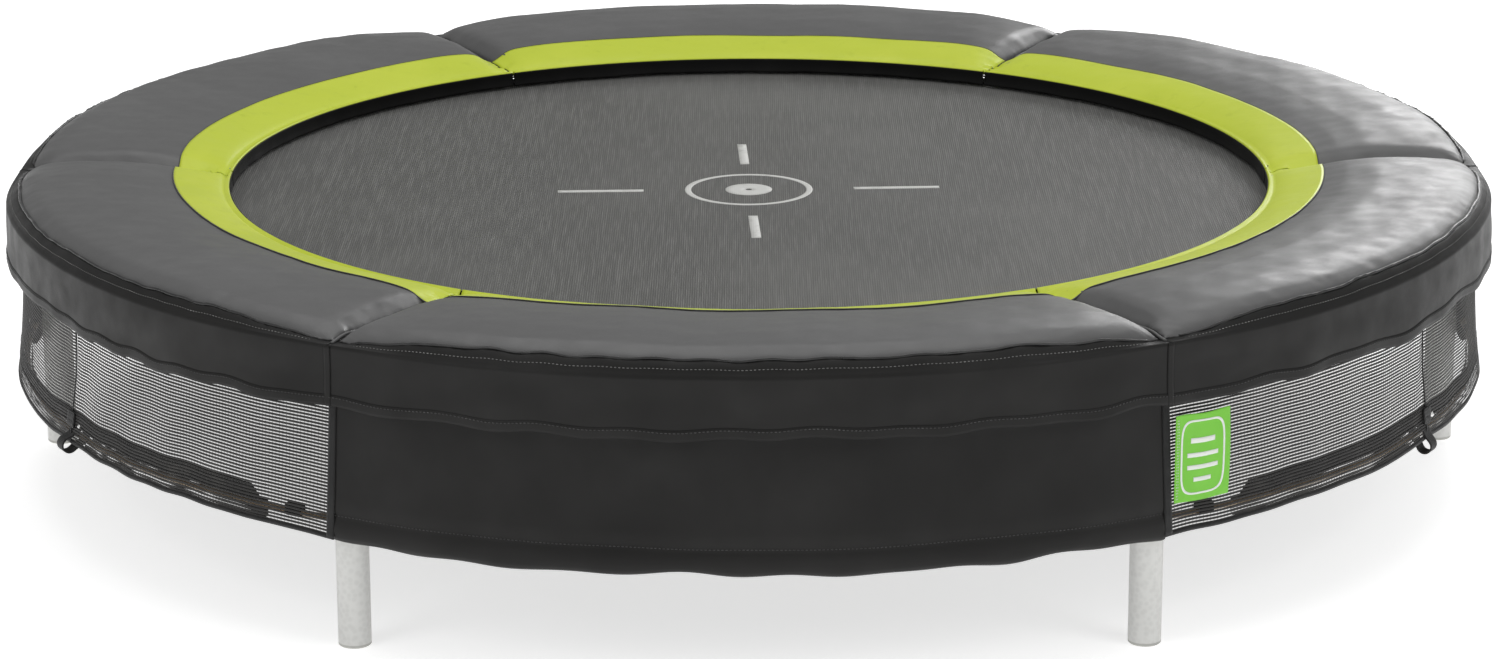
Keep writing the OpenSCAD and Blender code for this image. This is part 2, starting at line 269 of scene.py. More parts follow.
def stitches(name, path, away, material, pitch=4.6 * MM, length=3.1 * MM, width=0.55 * MM, lift=0.35 * MM,
             body="frame", slot="webbing"):
    """A row of thread stitches along a path, standing slightly proud of their cloth."""
    path, away = np.asarray(path, float), np.asarray(away, float)
    steps = np.linalg.norm(np.diff(path, axis=0), axis=1)
    reach = np.concatenate([[0], np.cumsum(steps)])
    count = max(2, int(reach[-1] / pitch))
    middle = (np.arange(count) + 0.5) * pitch

    def sample(places, values):
        return np.stack([np.interp(places, reach, values[:, k]) for k in range(3)], axis=1)

    at, out = sample(middle, path), sample(middle, away)
    out /= np.linalg.norm(out, axis=1, keepdims=True)
    along = sample(middle + 1 * MM, path) - sample(middle - 1 * MM, path)
    along /= np.linalg.norm(along, axis=1, keepdims=True)
    side = np.cross(out, along)
    tail, head = at - along * length / 5, at + along * length / 5
    points = np.stack([
        at - along * length / 2, tail + side * width, tail - side * width, tail + out * lift * 2,
        head + side * width, head - side * width, head + out * lift * 2, at + along * length / 2,
    ], axis=1)
    shape = [(0, 1, 3), (0, 3, 2), (0, 2, 1), (1, 4, 6, 3), (3, 6, 5, 2), (1, 2, 5, 4),
             (4, 7, 6), (6, 7, 5), (5, 7, 4)]
    faces = [[p + 8 * k for p in face] for k in range(count) for face in shape]
    return ride_as(mesh_object(name, points.reshape(-1, 3), faces, material, smooth=True), body, slot)


def ride_as(piece, body, slot, *nodes):
    """Puts a piece on its body and hides the CAD nodes that it stands for. Its slot is not used."""
    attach(piece, body)
    if nodes:
        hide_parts(*nodes)
    return piece


# ---------------------------------------------------------------- materials

class Material:
    """A Principled material with helpers for procedural colour, roughness and bump."""

    def __init__(self, name, colour, roughness, **sockets):
        self.material = bpy.data.materials.new(name)
        self.material.use_nodes = True
        self.tree = self.material.node_tree
        self.shader = self.tree.nodes["Principled BSDF"]
        self.colour = colour
        self.shader.inputs["Base Color"].default_value = (*colour, 1)
        self.shader.inputs["Roughness"].default_value = roughness
        for socket, value in sockets.items():
            self.shader.inputs[socket.replace("_", " ")].default_value = value
        self.place = self.node("ShaderNodeTexCoord").outputs["Object"]
        self.normal = None
        self.tone = None

    def node(self, kind, inputs=(), **settings):
        """Adds a node. Its inputs are given by name or number, as values or as other nodes' outputs."""
        made = self.tree.nodes.new(kind)
        for key, value in settings.items():
            setattr(made, key, value)
        for socket, source in dict(inputs).items():
            self.feed(made.inputs[socket], source)
        return made

    def feed(self, target, source):
        if isinstance(source, bpy.types.NodeSocket):
            self.tree.links.new(source, target)
        else:
            target.default_value = source

    def math(self, operation, first, second=0.0):
        return self.node("ShaderNodeMath", {0: first, 1: second}, operation=operation).outputs[0]

    def round_the_ring(self, radius):
        """Coordinates of (distance round the ring, distance from the axis, height)."""
        parts = self.node("ShaderNodeSeparateXYZ", {0: self.place}).outputs
        turn = self.math("ARCTAN2", parts[1], parts[0])
        flat = self.node("ShaderNodeVectorMath", {0: self.place, 1: (1, 1, 0)}, operation="MULTIPLY")
        distance = self.node("ShaderNodeVectorMath", {0: flat.outputs[0]}, operation="LENGTH")
        around = self.math("MULTIPLY", turn, radius)
        both = {0: around, 1: distance.outputs["Value"], 2: parts[2]}
        return self.node("ShaderNodeCombineXYZ", both).outputs[0]

    def scaled(self, stretch, place=None):
        vector = self.place if place is None else place
        return self.node("ShaderNodeMapping", {"Vector": vector, "Scale": stretch}).outputs[0]

    def noise(self, scale, detail=3, stretch=(1, 1, 1), rough=0.55, place=None):
        made = self.node("ShaderNodeTexNoise", {
            "Vector": self.scaled(stretch, place), "Scale": scale, "Detail": detail, "Roughness": rough})
        return made.outputs["Fac"]

    def cells(self, scale):
        made = self.node("ShaderNodeTexVoronoi", {"Vector": self.scaled((1, 1, 1)), "Scale": scale})
        return made.outputs["Distance"]

    def ribs(self, pitch, way, place=None):
        """Parallel ribs, pitch metres apart, along the axis called way."""
        made = self.node("ShaderNodeTexWave", {
            "Vector": self.scaled((1, 1, 1), place), "Scale": 0.31416 / pitch, "Distortion": 0.0,
            "Detail": 0}, wave_type="BANDS", bands_direction=way)
        return made.outputs["Fac"]

    def weave(self, pitch, place, ways=("X", "Z")):
        """Over-and-under plain weave of two sets of ribs."""
        return self.math("MULTIPLY", self.ribs(pitch, ways[0], place), self.ribs(pitch, ways[1], place))

    def vary_colour(self, amount, other, low=0.35, high=0.65):
        """Mixes towards the other colour where amount rises from low to high."""
        spread = self.node("ShaderNodeMapRange", {"Value": amount, "From Min": low, "From Max": high},
                           interpolation_type="SMOOTHSTEP")
        tone = self.tone if self.tone else (*self.colour, 1)
        mix = self.node("ShaderNodeMix", data_type="RGBA")
        for socket, source in (("Factor", spread.outputs[0]), (6, tone), (7, (*other, 1))):
            self.feed(mix.inputs[socket], source)
        self.tone = mix.outputs[2]
        self.feed(self.shader.inputs["Base Color"], self.tone)
        return self

    def vary_roughness(self, amount, low, high):
        """Roughness from low to high where amount rises."""
        spread = self.node("ShaderNodeMapRange", {
            "Value": amount, "From Min": 0.3, "From Max": 0.7, "To Min": low, "To Max": high})
        self.feed(self.shader.inputs["Roughness"], spread.outputs[0])
        return self

    def bump(self, height, depth, strength=1.0):
        """Raises the surface by up to depth metres where height is 1."""
        made = self.node("ShaderNodeBump", {"Strength": strength, "Distance": depth, "Height": height})
        if self.normal is not None:
            self.feed(made.inputs["Normal"], self.normal)
        self.normal = made.outputs[0]
        self.feed(self.shader.inputs["Normal"], self.normal)
        return self


def coated_cloth(name, colour, light, dark, roughness, specular):
    """Coated cover cloth: a fine scrim weave under a satin skin with faint creases and dust."""
    m = Material(name, colour, roughness, Specular_IOR_Level=specular)
    place = m.round_the_ring(PAD_OUT)
    m.vary_colour(m.noise(7, 4), light, 0.42, 0.75)
    m.vary_colour(m.noise(55, 5), dark, 0.55, 0.9)
    m.vary_roughness(m.noise(30, 4), roughness - 0.06, roughness + 0.08)
    m.bump(m.noise(24), 0.5 * MM, 0.35)
    m.bump(m.weave(1.1 * MM, place, ("X", "Y")), 0.04 * MM, 0.5)
    m.bump(m.noise(1400, 2), 0.04 * MM, 0.6)
    return m.material


def black_cloth(name, colour, light, roughness, specular):
    """Black skirt cloth: a tight woven surface, a little lighter along its folds."""
    m = Material(name, colour, roughness, Specular_IOR_Level=specular,
                 Sheen_Weight=0.03, Sheen_Roughness=0.4)
    place = m.round_the_ring(PAD_OUT)
    m.vary_colour(m.noise(5, 4), light, 0.4, 0.75)
    m.vary_roughness(m.noise(26, 4), roughness - 0.05, roughness + 0.09)
    m.bump(m.noise(16, 4, (1, 1, 0.6)), 0.8 * MM, 0.35)
    m.bump(m.weave(1.3 * MM, place), 0.06 * MM, 0.7)
    return m.material


def mat_weave():
    """Woven mat: ribs that run from front to back, thin cross threads, and a soft sheen."""
    m = Material("mat_weave", (0.08, 0.08, 0.075), 0.6, Specular_IOR_Level=0.25,
                 Sheen_Weight=0.2, Sheen_Roughness=0.35)
    ribs = m.ribs(2.7 * MM, "X")
    m.vary_colour(m.noise(260, 3, (1, 0.05, 1)), (0.145, 0.145, 0.137), 0.38, 0.72)
    m.vary_colour(ribs, (0.035, 0.035, 0.033), 0.35, 1.1)
    m.vary_colour(m.noise(90, 4, (1, 0.12, 1)), (0.17, 0.17, 0.16), 0.62, 0.95)
    m.vary_colour(m.noise(2.4, 4), (0.115, 0.115, 0.108), 0.4, 0.9)
    m.bump(ribs, 0.35 * MM, 0.8)
    m.bump(m.ribs(1.9 * MM, "Y"), 0.15 * MM, 0.7)
    return m.material


def webbing(name="webbing_black", colour=(0.012, 0.012, 0.012)):
    """Black webbing: herringbone ribs a little over a millimetre apart."""
    m = Material(name, colour, 0.7, Specular_IOR_Level=0.3, Sheen_Weight=0.15)
    place = m.round_the_ring(PAD_OUT)
    m.vary_colour(m.noise(40, 3), tuple(c * 2.2 for c in colour), 0.45, 0.8)
    m.bump(m.weave(1.4 * MM, place), 0.25 * MM, 0.9)
    m.bump(m.noise(900, 2), 0.08 * MM, 0.5)
    return m.material


def galvanised():
    """Zinc-coated tube: pale, matt, with a fine spangle and faint drag marks along the leg."""
    m = Material("galvanised", (0.62, 0.62, 0.6), 0.42, Metallic=0.35, Specular_IOR_Level=0.5)
    m.vary_colour(m.cells(160), (0.67, 0.67, 0.65), 0.2, 0.75)
    m.vary_colour(m.noise(9, 5), (0.56, 0.565, 0.55), 0.5, 0.85)
    m.vary_colour(m.noise(60, 4, (1, 1, 0.06)), (0.7, 0.7, 0.68), 0.55, 0.9)
    m.vary_roughness(m.noise(45, 5, (1, 1, 0.2)), 0.3, 0.52)
    m.bump(m.noise(300, 3), 0.06 * MM, 0.4)
    return m.material


def zinc_wire():
    """Zinc-plated spring wire with a slightly blue, brushed finish."""
    m = Material("zinc_wire", (0.6, 0.61, 0.62), 0.3, Metallic=1.0)
    m.vary_colour(m.noise(140, 3), (0.42, 0.43, 0.44), 0.5, 0.8)
    m.vary_roughness(m.noise(220, 3), 0.22, 0.42)
    m.bump(m.noise(1200, 2), 0.03 * MM, 0.5)
    return m.material


def bright_metal(name, colour):
    """Plated screws and rivets: brushed and lightly worn."""
    m = Material(name, colour, 0.2, Metallic=1.0)
    m.vary_colour(m.noise(500, 2), tuple(c * 0.7 for c in colour), 0.55, 0.85)
    m.vary_roughness(m.noise(700, 2), 0.16, 0.32)
    m.bump(m.noise(900, 2), 0.02 * MM, 0.4)
    return m.material


def glass_fibre():
    """Amber glass-fibre rod: long fibres seen through clear resin."""
    m = Material("glass_fibre", (0.25, 0.16, 0.075), 0.3, Coat_Weight=0.5, Coat_Roughness=0.2)
    place = m.round_the_ring(ROD_R)
    m.vary_colour(m.noise(300, 4, (0.03, 1, 1), place=place), (0.42, 0.3, 0.16), 0.4, 0.7)
    m.vary_colour(m.noise(12, 3), (0.17, 0.1, 0.045), 0.5, 0.85)
    m.bump(m.noise(500, 2, (0.05, 1, 1), place=place), 0.05 * MM, 0.6)
    return m.material


def moulded(name, colour, other):
    """Moulded plastic with a fine grain."""
    m = Material(name, colour, 0.5)
    m.vary_colour(m.noise(30, 4), other, 0.45, 0.8)
    m.vary_roughness(m.noise(120, 3), 0.42, 0.62)
    m.bump(m.cells(900), 0.05 * MM, 0.5)
    return m.material


def net_thread():
    """Knitted net thread: dark, softly lit, with the twist of its filaments."""
    m = Material("net_thread", (0.02, 0.019, 0.018), 0.6, Specular_IOR_Level=0.3, Sheen_Weight=0.1)
    m.vary_colour(m.noise(25, 3), (0.04, 0.038, 0.035), 0.45, 0.8)
    m.bump(m.noise(1100, 2, (1, 1, 2.5)), 0.12 * MM, 0.7)
    return m.material


def print_ink(name, colour, other):
    """Ink pressed into a weave: worn a little where the ribs stand up."""
    m = Material(name, colour, 0.55)
    m.vary_colour(m.noise(70, 4), other, 0.5, 0.85)
    m.vary_colour(m.noise(500, 2, (1, 0.1, 1)), other, 0.6, 0.95)
    m.bump(m.ribs(2.7 * MM, "X"), 0.2 * MM, 0.6)
    return m.material


def label_cloth(name, colour, other):
    """Closely woven label cloth."""
    m = Material(name, colour, 0.5, Sheen_Weight=0.1)
    place = m.round_the_ring(LABEL_R)
    m.vary_colour(m.noise(20, 3), other, 0.45, 0.85)
    m.bump(m.weave(0.7 * MM, place), 0.05 * MM, 0.7)
    return m.material


camera_and_studio()
PAD_GREY = coated_cloth("pad_grey", (0.098, 0.098, 0.098), (0.112, 0.112, 0.112), (0.088, 0.088, 0.089),
                        0.4, 0.5)
LIME = coated_cloth("lime", (0.56, 0.66, 0.035), (0.61, 0.7, 0.05), (0.47, 0.57, 0.02), 0.42, 0.4)
BLACK = black_cloth("cover_black", (0.011, 0.0107, 0.0102), (0.016, 0.0155, 0.0148), 0.48, 0.22)
SHINY_BLACK = black_cloth("piping_black", (0.012, 0.012, 0.012), (0.02, 0.02, 0.02), 0.3, 0.6)
# The lip's black is the black cover cloth made darker: painted shade on the pads' inner faces.
LIP_PAINTED_SHADE_BLACK = black_cloth("lip_painted_shade_black", (0.006, 0.006, 0.006), (0.009, 0.009, 0.009), 0.65, 0.15)
MAT = mat_weave()
WEB = webbing()
ZINC = galvanised()
WIRE = zinc_wire()
FIBRE = glass_fibre()
THREAD = net_thread()
STEEL = bright_metal("screw_zinc", (0.5, 0.5, 0.48))
RIVET = bright_metal("rivet_bright", (0.75, 0.75, 0.74))
FOOT = moulded("foot_grey", (0.5, 0.5, 0.47), (0.42, 0.42, 0.4))
INK_WHITE = print_ink("ink_white", (0.62, 0.62, 0.6), (0.42, 0.42, 0.4))
LABEL_GREEN = label_cloth("label_green", (0.17, 0.56, 0.03), (0.21, 0.62, 0.05))
LABEL_WHITE = label_cloth("label_white", (0.8, 0.83, 0.78), (0.7, 0.75, 0.68))
STITCH = webbing("stitch_dark", (0.05, 0.05, 0.05))
STITCH_PALE = webbing("stitch_pale", (0.16, 0.16, 0.155))


# ---------------------------------------------------------------- pads, trim, lip and valance

HALF = SECTOR / 2
STEP_R = 874 * MM  # where a pad's underside steps up from over the springs on to the ring
DENTS = waves(11, 7, 0.16, 0.6)
FINE_DENTS = waves(12, 9, 0.03, 0.09)
# the crown of a pad from its inner edge outwards, in mm: distance from that edge, height over the mat
PAD_SHAPE = [
    (3.5, 22.0), (8, 24.5), (40, 31.5), (71, 38.0), (101, 43.0), (140, 46.0), (195, 46.8),
    (238, 43.2), (256, 37.5), (264, 31.0), (266, 26.0),
]
CROWN_SWELL = (0, 0, 0.3, 0.7, 1.6, 3.4, 5.6, 7.2, 7.2, 6.0, 4.5)  # how far each of these rises mid-pad
RIM_SWELL = 7.5 * MM  # how far the outer edge stands out mid-pad


def swell(angles):
    """From 0 at the joints between two pads to 1 where they are full."""
    gap = (HALF - np.abs(np.asarray(angles) % SECTOR - HALF)) * math.pi / 180 * PAD_OUT
    return 1 - np.exp(-(gap / 0.12) ** 2)


def pad_blank():
    """A pad before its cover is filled, centred on +X, slightly smaller than it will be."""
    stations = 90
    crown = np.array(PAD_SHAPE) * MM + np.array([PAD_IN, RING_Z])
    base = 3.5 * MM
    under = [(PAD_OUT - inset, ON_TUBE + 1.2 * MM) for inset in (5 * MM, 49 * MM)]
    under += [(radius, UNDER_PAD + 2 * MM) for radius in (STEP_R, 0.8, 0.72, PAD_IN + 6 * MM)]
    section = np.concatenate([crown, under])
    points = []
    for k in range(stations + 1):
        share = k / stations * 2 - 1
        angle = (HALF - 0.08) * share
        full = float(swell(angle + HALF))
        gap = HALF * (1 - abs(share)) * math.pi / 180 * 0.8
        dip = 0.42 * math.exp(-(gap / 0.013) ** 2) + 0.16 * math.exp(-(gap / 0.05) ** 2)
        height = section[:, 1].copy()
        floor_here = np.where(section[:, 0] > STEP_R + 4 * MM, ON_TUBE, UNDER_PAD) + 2 * MM
        height[:len(crown)] -= np.maximum(height[:len(crown)] - floor_here[:len(crown)], 0) * dip
        height[:len(crown)] += np.array(CROWN_SWELL) * MM * full
        reach = section[:, 0].copy()
        reach[6:13] += RIM_SWELL * full - base * math.exp(-(gap / 0.02) ** 2)
        points.append(ring_points(angle, reach, height))
    points = np.array(points)
    faces = grid_faces(stations + 1, len(section), closed_columns=True).tolist()
    faces.append(list(range(len(section))))
    faces.append([stations * len(section) + k for k in range(len(section))][::-1])
    return mesh_object("pad_blank", points.reshape(-1, 3), faces)


def apply_modifiers(piece):
    graph = bpy.context.evaluated_depsgraph_get()
    made = bpy.data.meshes.new_from_object(piece.evaluated_get(graph))
    piece.modifiers.clear()
    piece.data = made
    return piece


def points_of(mesh):
    flat = np.zeros(len(mesh.vertices) * 3, np.float32)
    mesh.vertices.foreach_get("co", flat)
    return flat.reshape(-1, 3).astype(float)


def set_points(mesh, points):
    mesh.vertices.foreach_set("co", np.asarray(points, np.float32).ravel())
    mesh.update()


def fill_pad(blank):
    """Swells the blank's cover over its foam by cloth simulation, and flattens it where it rests."""
    remesh = blank.modifiers.new("remesh", "REMESH")
    remesh.mode, remesh.voxel_size = "VOXEL", 5.5 * MM
    apply_modifiers(blank)
    start = points_of(blank.data)
    cover = blank.modifiers.new("cover", "CLOTH")
    cover.settings.quality = 4
    cover.settings.use_pressure = True
    cover.settings.uniform_pressure_force = 4
    cover.settings.tension_stiffness = 12
    cover.settings.bending_stiffness = 1.5
    cover.settings.effector_weights.gravity = 0
    for step in range(1, 21):
        bpy.context.scene.frame_set(step)
    graph = bpy.context.evaluated_depsgraph_get()
    swollen = points_of(blank.evaluated_get(graph).data)
    blank.modifiers.clear()
    bpy.context.scene.frame_set(1)
    moved = swollen - start
    length = np.linalg.norm(moved, axis=1, keepdims=True)
    most = 3.6 * MM  # the furthest that the filling may push the cover
    start = start + moved * np.minimum(1, most / np.maximum(length, 1e-9))
    set_points(blank.data, start)
    smooth = blank.modifiers.new("smooth", "SMOOTH")
    smooth.factor, smooth.iterations = 0.5, 4
    finer = blank.modifiers.new("finer", "SUBSURF")
    finer.levels = finer.render_levels = 1
    apply_modifiers(blank)
    points = points_of(blank.data)
    distance = np.hypot(points[:, 0], points[:, 1])
    angle = np.degrees(np.arctan2(points[:, 1], points[:, 0]))
    rest = np.where(distance > STEP_R - 1 * MM, ON_TUBE, UNDER_PAD)
    height = np.maximum(points[:, 2], rest + 0.3 * MM)
    angle = np.clip(angle, -HALF + 0.03, HALF - 0.03)
    distance = np.clip(distance, PAD_IN + 1.2 * MM, PAD_OUT + RIM_SWELL + 0.6 * MM)
    set_points(blank.data, ring_points(angle, distance, height))
    return blank


def dented(points, centre):
    """Turns points of the first pad to their own sector and gives them that sector's soft dents."""
    turn = math.radians(centre)
    x = points[..., 0] * math.cos(turn) - points[..., 1] * math.sin(turn)
    y = points[..., 0] * math.sin(turn) + points[..., 1] * math.cos(turn)
    out = np.stack([x, y, points[..., 2]], axis=-1)
    place = out * np.array([1, 1, 0])
    distance = np.hypot(x, y)
    gap = np.minimum(np.abs(HALF - np.abs(np.degrees(np.arctan2(points[..., 1], points[..., 0])))), 9)
    top = np.clip((points[..., 2] - UNDER_PAD - 6 * MM) / (20 * MM), 0, 1)
    soft = 1.3 * MM * DENTS(place) + 0.25 * MM * FINE_DENTS(place)
    along = np.arctan2(y, x)
    pleat = np.sin(along * distance * 2 * np.pi / 0.0125) * np.exp(-(gap / 1.6) ** 2)
    pleat = pleat * np.clip((distance - PAD_OUT + 40 * MM) / (30 * MM), 0, 1)
    out[..., 2] = out[..., 2] + top * (soft + 0.6 * MM * pleat)
    return out


def pads():
    first = fill_pad(pad_blank())
    rest = points_of(first.data)
    faces = [list(p.vertices) for p in first.data.polygons]
    made = {}
    for k in range(SECTORS):
        mirrored = k % 2 == 1
        points = rest * np.array([1, -1, 1]) if mirrored else rest
        own_faces = [f[::-1] for f in faces] if mirrored else faces
        centre = SECTOR * k + HALF
        pad = mesh_object(f"pad_cover_{k + 1}", dented(points, centre), own_faces, PAD_GREY, smooth=True)
        ride_as(pad, "frame", "pad_cover", f"pad_{k + 1}")
        made[k] = pad
    bpy.data.objects.remove(first)
    return made


def only_first(number, node):
    """The node for the first piece of a set that stands for it, and nothing for the others."""
    return [node] if number == 0 else []


class Surface:
    """Finds the surface of a finished piece by casting rays at it."""

    def __init__(self, piece):
        mesh = bmesh.new()
        mesh.from_mesh(piece.data)
        self.tree = BVHTree.FromBMesh(mesh)
        mesh.free()

    def top(self, angle, radius):
        """Height of the surface seen from above, or NaN where a ray misses it."""
        hit = self.tree.ray_cast(Vector(ring_points(angle, radius, 0.5)), Vector((0, 0, -1)))[0]
        return hit.z if hit is not None else np.nan

    def side(self, angle, height):
        """Distance of the surface from the ring's axis, seen from outside, or NaN."""
        out = Vector(outward(angle))
        hit = self.tree.ray_cast(out * 1.1 + Vector((0, 0, height)), -out)[0]
        return math.hypot(hit.x, hit.y) if hit is not None else np.nan


def settled(values, default, reach=4):
    """Values along an edge without the odd ones that a ray missed or caught on a fold."""
    values = np.array(values)
    good = np.isfinite(values)
    if not good.any():
        return np.full(len(values), default)
    run = np.arange(len(values))
    values = np.interp(run, run[good], values[good])
    padded = np.pad(values, reach, mode="edge")
    middle = np.median([padded[k:k + len(values)] for k in range(2 * reach + 1)], axis=0)
    return np.convolve(np.pad(middle, 2, mode="edge"), np.ones(5) / 5, mode="valid")


PUCKERS = waves(21, 8, 0.008, 0.03)
HEM_WAVES = waves(22, 6, 0.05, 0.35)
CLOTH_WAVES = waves(23, 6, 0.09, 0.5)


def trims_and_lips(surfaces):
    """The lime strip over each pad's inner slope, its edge seam, and the black lip below it."""
    columns = 150
    for k in range(SECTORS):
        angles = np.linspace(SECTOR * k + 0.12, SECTOR * (k + 1) - 0.12, columns)
        edge_gap = np.minimum(angles - angles[0], angles[-1] - angles)
        radius = np.concatenate([np.linspace(TRIM_OUT, PAD_IN + 7 * MM, 15), [PAD_IN + 3.2 * MM]])
        rows = []
        for r in radius:
            z = [surfaces[k].top(a, max(r, PAD_IN + 5.5 * MM)) for a in angles]
            rows.append(ring_points(angles, r, settled(z, TRIM_LOW)))
        grid = np.array(rows)
        share = np.linspace(0, 1, len(radius))[:, None]
        pucker = PUCKERS(grid) * (0.25 + 0.75 * np.exp(-(edge_gap / 2.0) ** 2))[None, :]
        grid[..., 2] += 0.9 * MM + 0.45 * MM * pucker * np.sin(share * np.pi)
        grid[-1, :, 2] -= 1.2 * MM
        fold = ring_points(angles, PAD_IN + 1.2 * MM, grid[-1, :, 2] - 2.4 * MM)
        grid = np.concatenate([grid, fold[None]])
        trim = cloth(f"lime_trim_{k + 1}", grid[::-1], 1.0 * MM, LIME)
        ride_as(trim, "frame", "lime_cover", f"trim_{k + 1}")
        seam = round_bar(f"trim_seam_{k + 1}", grid[0] + np.array([0, 0, 0.1 * MM]), 0.9 * MM, STITCH, 6)
        ride_as(seam, "frame", "webbing")
        heights_down = np.linspace(0, 1, 9)[:, None]
        top_z = grid[-1, :, 2][None, :] + 0.6 * MM
        low_z = RING_Z + 4.6 * MM + 0.5 * MM * CLOTH_WAVES(ring_points(angles, 3.0, 0.0))[None, :]
        z = top_z + (low_z - top_z) * heights_down
        ripple = 0.8 * MM * CLOTH_WAVES(outward(angles) * 2.2)[None, :] * heights_down
        lip_r = PAD_IN + 0.5 * MM + ripple + 1.2 * MM * np.sin(heights_down * np.pi)
        points = ring_points(angles, lip_r, z)
        # The lip cloth is darkened as painted shade on the pad's inner face.
        lip = cloth(f"pad_lip_{k + 1}", points[::-1], 0.9 * MM, LIP_PAINTED_SHADE_BLACK)
        ride_as(lip, "frame", "black_cover")


def valances(surfaces):
    """The strip hanging from each pad's outer edge, its rolled top seam, hem, stitches and side seams."""
    columns = 170
    for k in range(SECTORS):
        angles = np.linspace(SECTOR * k + 0.05, SECTOR * (k + 1) - 0.05, columns)
        around = outward(angles)
        full = swell(angles)
        crown = settled([surfaces[k].top(a, PAD_OUT - 14 * MM) for a in angles], PAD_TOP)
        top = np.minimum(PAD_LOW + 38 * MM, crown - 4 * MM) + 0.9 * MM * HEM_WAVES(around * 1.7)
        turn = PAD_LOW + 22 * MM
        share = np.linspace(0, 1, 22)[:, None]
        hang = 1 - share
        bottom = VALANCE_LOW + (2.6 * MM * HEM_WAVES(around) - 1.5 * MM)[None, :]
        z = bottom + (turn - bottom) * share
        flare = 2.6 * MM * CLOTH_WAVES(around * 1.3)[None, :] * hang ** 1.4 + 1.4 * MM * hang
        crease = 0.9 * MM * CLOTH_WAVES(ring_points(angles, 1.0, 3 * z)) * np.sin(np.pi * share)
        out_at = VALANCE_R + 0.9 * MM + (RIM_SWELL * full)[None, :] * (0.75 + 0.25 * share)
        r = out_at + np.maximum(flare + crease, -0.9 * MM)
        rows = [ring_points(angles, r, z)]
        for up in np.linspace(0.15, 1, 6):
            height = turn + (top - turn) * up
            side = [surfaces[k].side(a, h) for a, h in zip(angles, height)]
            side = settled(side, PAD_OUT - 9 * MM) + 0.9 * MM
            blend = up ** 0.7
            rows.append(ring_points(angles, out_at[-1] * (1 - blend) + side * blend, height)[None])
        points = np.concatenate(rows)
        valance = cloth(f"valance_cloth_{k + 1}", points, 1.1 * MM, BLACK)
        ride_as(valance, "frame", "black_cover", f"valance_{k + 1}")
        hem = np.array([points[i] + (0.75 * MM if i < 4 else 0.35 * MM) * around for i in range(5)])
        band = cloth(f"valance_hem_{k + 1}", hem, 0.7 * MM, BLACK)
        ride_as(band, "frame", "black_cover")
        lean = around + np.array([0, 0, 0.8])
        rolled = points[-1] + lean * (0.6 + 0.5 * PUCKERS(around * 0.9))[:, None] * MM
        roll = round_bar(f"valance_roll_{k + 1}", rolled, 1.7 * MM, SHINY_BLACK, 9)
        ride_as(roll, "frame", "black_cover")
        for row, name, thread in ((3, "hem", STITCH), (24, "edge", STITCH_PALE)):
            line = points[row] + around * (1.25 * MM if row == 3 else 0.75 * MM)
            stitches(f"valance_{name}_stitch_{k + 1}", line, around, thread)
        joint = np.arange(-2, 3) * 0.12
        side = np.hypot(points[:22, 0, 0], points[:22, 0, 1])[:, None] + 0.9 * MM
        seam = cloth(f"valance_seam_{k + 1}", ring_points(
            SECTOR * k + joint[None, :] + 0 * side, side + 0 * joint[None, :],
            points[:22, 0, 2][:, None]), 0.8 * MM, BLACK)
        ride_as(seam, "frame", "black_cover")


def pad_seams(surfaces):
    """The rolled fold between each two pads, lying in the groove where the covers dip."""
    for k in range(SECTORS):
        angle = SECTOR * k
        before, after = surfaces[(k - 1) % SECTORS], surfaces[k]
        for name, low, high, thick, finish, slot in (
            ("pad_fold", TRIM_OUT + 3 * MM, PAD_OUT - 7 * MM, 2.0 * MM, PAD_GREY, "pad_cover"),
            ("trim_fold", PAD_IN + 8 * MM, TRIM_OUT + 1 * MM, 1.3 * MM, LIME, "lime_cover"),
        ):
            radius = np.linspace(low, high, 46)
            sides = [settled([surface.top(angle + turn, r) for r in radius], TRIM_LOW)
                     for surface, turn in ((before, -0.45), (after, 0.45))]
            sway = 0.05 * np.sin(radius * 90 + k)
            path = ring_points(angle + sway, radius, np.minimum(*sides) - 0.8 * MM)
            fold = round_bar(f"{name}_{k + 1}", path, thick, finish, 8)
            ride_as(fold, "frame", slot)


# ---------------------------------------------------------------- skirt

def skirt_lean(z):
    """How far the skirt stands in or out at a height: drawn in below the valance, out at the rod."""
    down = (SKIRT_TOP - z) / (SKIRT_TOP - NET_LOW)
    return np.interp(down, (0, 0.1, 0.3, 0.65, 1.0), np.array([-1.5, -5.0, -9.0, -3.5, 3.0]) * MM)


